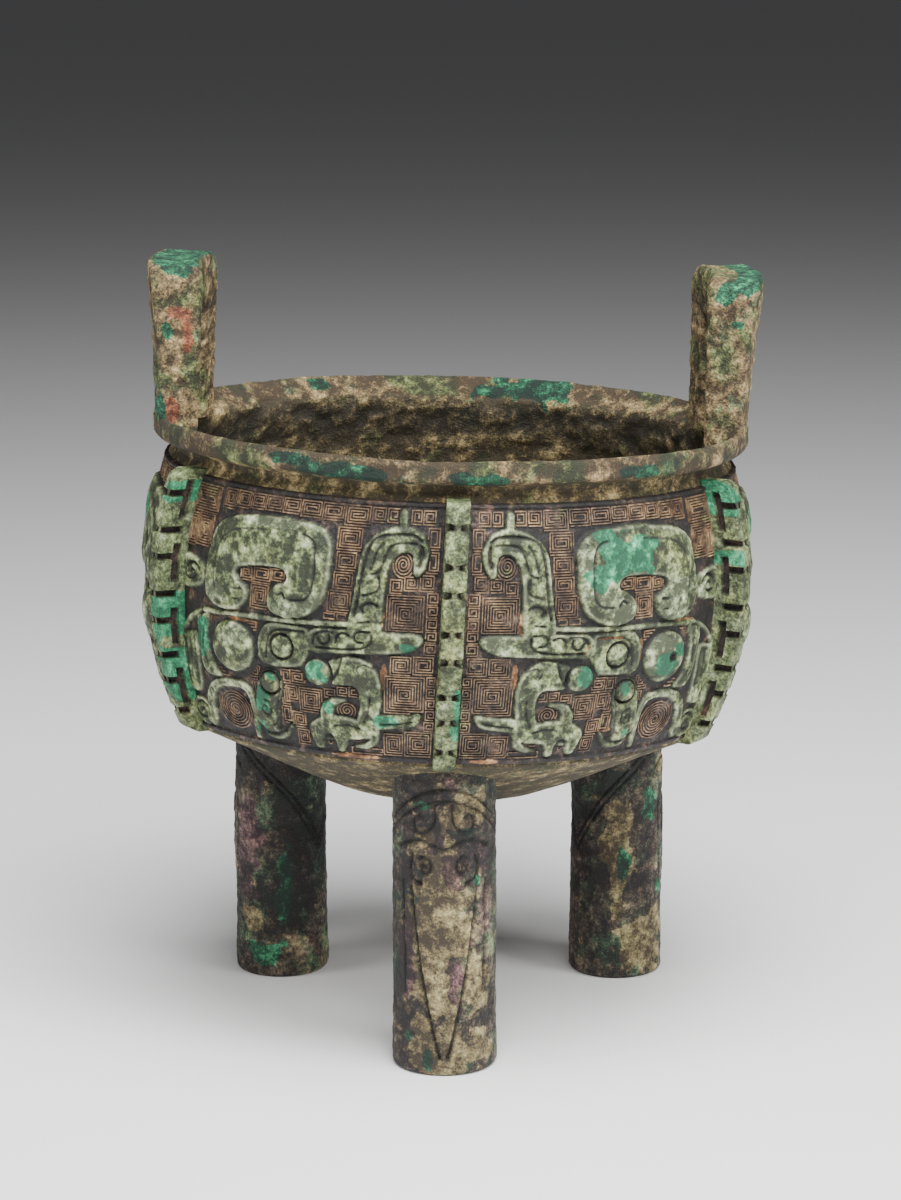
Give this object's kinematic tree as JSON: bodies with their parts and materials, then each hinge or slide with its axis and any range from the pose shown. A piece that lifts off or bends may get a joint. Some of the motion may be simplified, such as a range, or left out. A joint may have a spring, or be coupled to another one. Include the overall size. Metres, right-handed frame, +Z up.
{
  "type": "bronze ding vessel",
  "caption": "Deep round bronze cauldron on straight cylindrical legs, with upright loop handles, notched flanges and a band of raised animal masks.",
  "frame": {"origin": "centre of the overall box in plan, on the plane that the feet stand on", "axes": "+Z up; the front leg and the middle of the front mask face -Y, +X is to the viewer's right, and the handles stand over -X and +X"},
  "size_m": [0.1996, 0.2116, 0.2481],
  "materials": {
    "patinated_bronze": "matt green, brown and red corrosion over cast bronze"
  },
  "bodies": {
    "root": {"ding_vessel": "patinated_bronze"}
  },
  "joints": []
}
